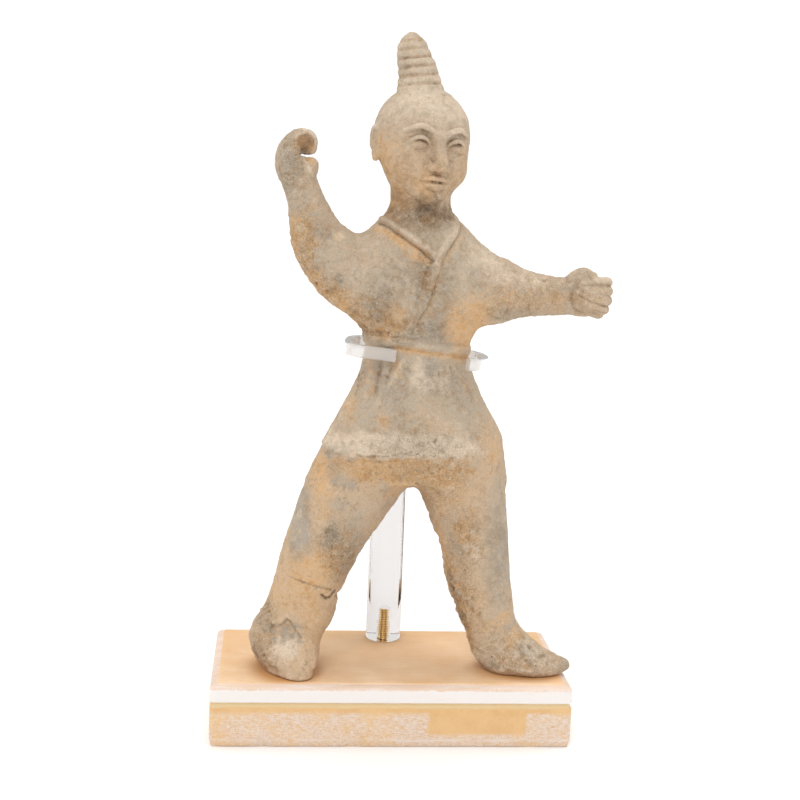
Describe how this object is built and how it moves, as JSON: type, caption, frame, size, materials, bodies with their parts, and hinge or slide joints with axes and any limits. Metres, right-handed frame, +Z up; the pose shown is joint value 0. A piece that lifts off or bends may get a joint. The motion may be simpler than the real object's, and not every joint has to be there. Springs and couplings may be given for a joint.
{
  "type": "standing figure statuette on a stand",
  "caption": "Terracotta warrior figure, one hand raised and one fist held out, on a wooden plinth with a clear acrylic post and waist cradle.",
  "frame": {"origin": "middle of the plinth's underside", "axes": "+Z up, -Y towards the viewer whom the figure faces, +X to the viewer's right along the plinth's length"},
  "size_m": [0.1992, 0.088, 0.3556],
  "materials": {
    "terracotta": "unglazed, matt, earth stained",
    "gilt_wood": "distressed gold paint with a white band, satin",
    "clear_acrylic": "polished, clear",
    "brass": "plain threaded"
  },
  "bodies": {
    "root": {"warrior_figure": "terracotta", "wood_plinth": "gilt_wood", "acrylic_post": "clear_acrylic", "acrylic_cradle": "clear_acrylic", "brass_stud": "brass"}
  },
  "joints": []
}
